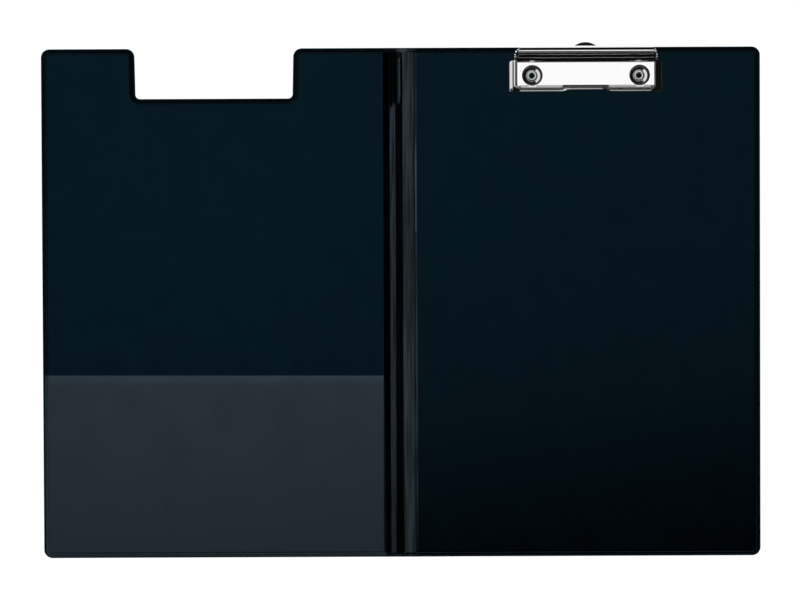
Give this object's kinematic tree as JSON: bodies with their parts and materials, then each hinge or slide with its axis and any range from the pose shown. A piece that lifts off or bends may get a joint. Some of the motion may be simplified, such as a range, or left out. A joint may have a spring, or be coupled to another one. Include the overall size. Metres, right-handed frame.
{
  "type": "clipboard folder",
  "caption": "Folding clipboard for A4 paper: two film-covered boards on a flexible spine, a sprung lever clip with hanging tab, a notch for the clip and a film pocket.",
  "frame": {"origin": "under the middle of the open folder's bounding box, on the surface it lies on", "axes": "+X from the front cover to the back cover, +Y up the page to the clip, +Z out of the page"},
  "size_m": [0.471, 0.337, 0.0179],
  "materials": {
    "grey_board": "grey chipboard, matt",
    "cover_film": "black vinyl film with a soft sheen",
    "crease_film": "black vinyl film, pressed along the welds",
    "pocket_film": "matt frosted black film",
    "clip_steel": "nickel plated, mirror bright",
    "base_steel": "nickel plated, softer than the jaw",
    "spring_steel": "bright spring wire",
    "rivet_steel": "nickel plated",
    "tab_plastic": "black moulded plastic"
  },
  "bodies": {
    "back_cover": {"back_board": "grey_board", "back_outer_film": "cover_film", "back_inner_film": "cover_film", "back_crease_film": "crease_film", "clip_base": "base_steel", "pivot_rod": "base_steel", "left_spring": "spring_steel", "right_spring": "spring_steel", "rivets": "rivet_steel", "rivet_washers": "rivet_steel"},
    "spine": {"spine_outer_film": "cover_film", "spine_inner_film": "cover_film", "spine_strip": "grey_board", "front_crease_film": "crease_film"},
    "front_cover": {"front_board": "grey_board", "front_outer_film": "cover_film", "front_inner_film": "cover_film", "front_pocket": "pocket_film"},
    "jaw": {"clip_jaw": "clip_steel"},
    "tab": {"hanging_tab": "tab_plastic"}
  },
  "joints": [
    {"name": "back_hinge", "type": "hinge", "parent": "back_cover", "child": "spine", "pos_m": [0.0058, 0, 0.0002], "axis": [0, 1, 0], "range_deg": [-90, 90], "deforming": ["back_crease_film"]},
    {"name": "front_hinge", "type": "hinge", "parent": "spine", "child": "front_cover", "pos_m": [-0.0083, 0, 0.0002], "axis": [0, 1, 0], "range_deg": [-90, 90], "deforming": ["front_crease_film"]},
    {"name": "jaw_pivot", "type": "hinge", "parent": "back_cover", "child": "jaw", "pos_m": [0.121, 0.15865, 0.0077], "axis": [-1, 0, 0], "range_deg": [0, 38], "stiffness_Nm_per_rad": 0.25, "springref_deg": -34.38, "deforming": ["left_spring", "right_spring"]},
    {"name": "tab_slide", "type": "slide", "parent": "back_cover", "child": "tab", "axis": [0, 1, 0], "range_m": [0, 0.012]}
  ]
}
